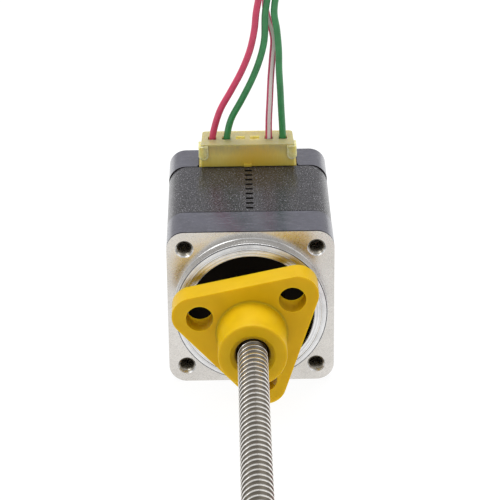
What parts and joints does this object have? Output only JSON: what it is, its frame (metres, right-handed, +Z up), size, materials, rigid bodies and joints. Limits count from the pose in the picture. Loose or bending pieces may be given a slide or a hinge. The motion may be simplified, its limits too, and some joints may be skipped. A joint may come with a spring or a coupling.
{
  "type": "stepper motor with lead screw",
  "caption": "Square hybrid stepper motor whose shaft is a long lead screw, with a three-lobed flange nut running on it and coloured leads from a plug on top",
  "frame": {"origin": "on the ground under the middle of the object, measured without the free leads", "axes": "+Z up, +X to the right seen from the screw's tip, +Y along the motor's axis from the screw's free tip towards the motor's rear"},
  "size_m": [0.0604, 0.1344, 0.0811],
  "materials": {
    "end_cap": "die-cast aluminium, bead blasted and machined bright on the mounting face and pilot ring",
    "laminations": "stacked silicon-steel laminations with a dark satin coat",
    "rotor_steel": "toothed electrical steel",
    "magnet": "nickel-plated permanent magnet",
    "bobbin_plastic": "black glass-filled nylon",
    "copper_wire": "enamelled copper winding",
    "screw_steel": "zinc-plated steel screw",
    "bearing_steel": "polished bearing steel",
    "seal_rubber": "black bearing seal",
    "stainless_screw": "rolled stainless thread",
    "connector_nylon": "natural nylon, slightly translucent",
    "board": "green coated circuit board",
    "tinned_brass": "tin-plated brass",
    "nut_acetal": "yellow acetal, satin",
    "lead_pink": "pink-red insulation",
    "lead_green": "green insulation",
    "lead_striped": "pink-red insulation with a broad white stripe along it",
    "tie_nylon": "black nylon tie"
  },
  "bodies": {
    "motor": {"front_end_cap": "end_cap", "stator_core": "laminations", "rear_end_cap": "end_cap", "front_bobbin": "bobbin_plastic", "rear_bobbin": "bobbin_plastic", "coil_1": "copper_wire", "coil_2": "copper_wire", "coil_3": "copper_wire", "coil_4": "copper_wire", "coil_5": "copper_wire", "coil_6": "copper_wire", "coil_7": "copper_wire", "coil_8": "copper_wire", "case_screw_1": "screw_steel", "case_screw_2": "screw_steel", "case_screw_3": "screw_steel", "case_screw_4": "screw_steel", "front_bearing_outer_ring": "bearing_steel", "rear_bearing_outer_ring": "bearing_steel", "front_bearing_seal": "seal_rubber", "wave_washer": "bearing_steel", "connector_header": "connector_nylon", "interface_board": "board", "connector_plug": "connector_nylon", "header_pin_1": "tinned_brass", "header_pin_2": "tinned_brass", "header_pin_3": "tinned_brass", "header_pin_4": "tinned_brass", "header_pin_5": "tinned_brass", "header_pin_6": "tinned_brass", "crimp_terminal_1": "tinned_brass", "crimp_terminal_2": "tinned_brass", "crimp_terminal_5": "tinned_brass", "crimp_terminal_6": "tinned_brass", "lead_pink": "lead_pink", "lead_green_1": "lead_green", "lead_striped": "lead_striped", "lead_green_2": "lead_green", "lead_coil": "lead_striped", "lead_tie": "tie_nylon"},
    "rotor": {"rotor_cup_front": "rotor_steel", "rotor_magnet": "magnet", "rotor_cup_rear": "rotor_steel", "lead_screw": "stainless_screw", "front_bearing_inner_ring": "bearing_steel", "rear_bearing_inner_ring": "bearing_steel"},
    "front_cage": {"front_bearing_balls": "bearing_steel"},
    "rear_cage": {"rear_bearing_balls": "bearing_steel"},
    "nut": {"flange_nut": "nut_acetal"}
  },
  "joints": [
    {"name": "screw_spin", "type": "hinge", "parent": "motor", "child": "rotor", "pos_m": [0, 0.03275, 0.014], "axis": [0, 1, 0], "range_deg": [-325, 10300]},
    {"name": "nut_travel", "type": "slide", "parent": "motor", "child": "nut", "axis": [0, -1, 0], "range_m": [-0.0025, 0.08]},
    {"name": "front_cage_spin", "type": "hinge", "parent": "motor", "child": "front_cage", "pos_m": [0, 0.03865, 0.014], "axis": [0, 1, 0], "range_deg": [-120, 3790]},
    {"name": "rear_cage_spin", "type": "hinge", "parent": "motor", "child": "rear_cage", "pos_m": [0, 0.06335, 0.014], "axis": [0, 1, 0], "range_deg": [-120, 3790]}
  ],
  "couplings": [
    {"joint": "screw_spin", "follows": "nut_travel", "rad_per_m": 2244},
    {"joint": "front_cage_spin", "follows": "nut_travel", "rad_per_m": 825.12},
    {"joint": "rear_cage_spin", "follows": "nut_travel", "rad_per_m": 825.12}
  ]
}
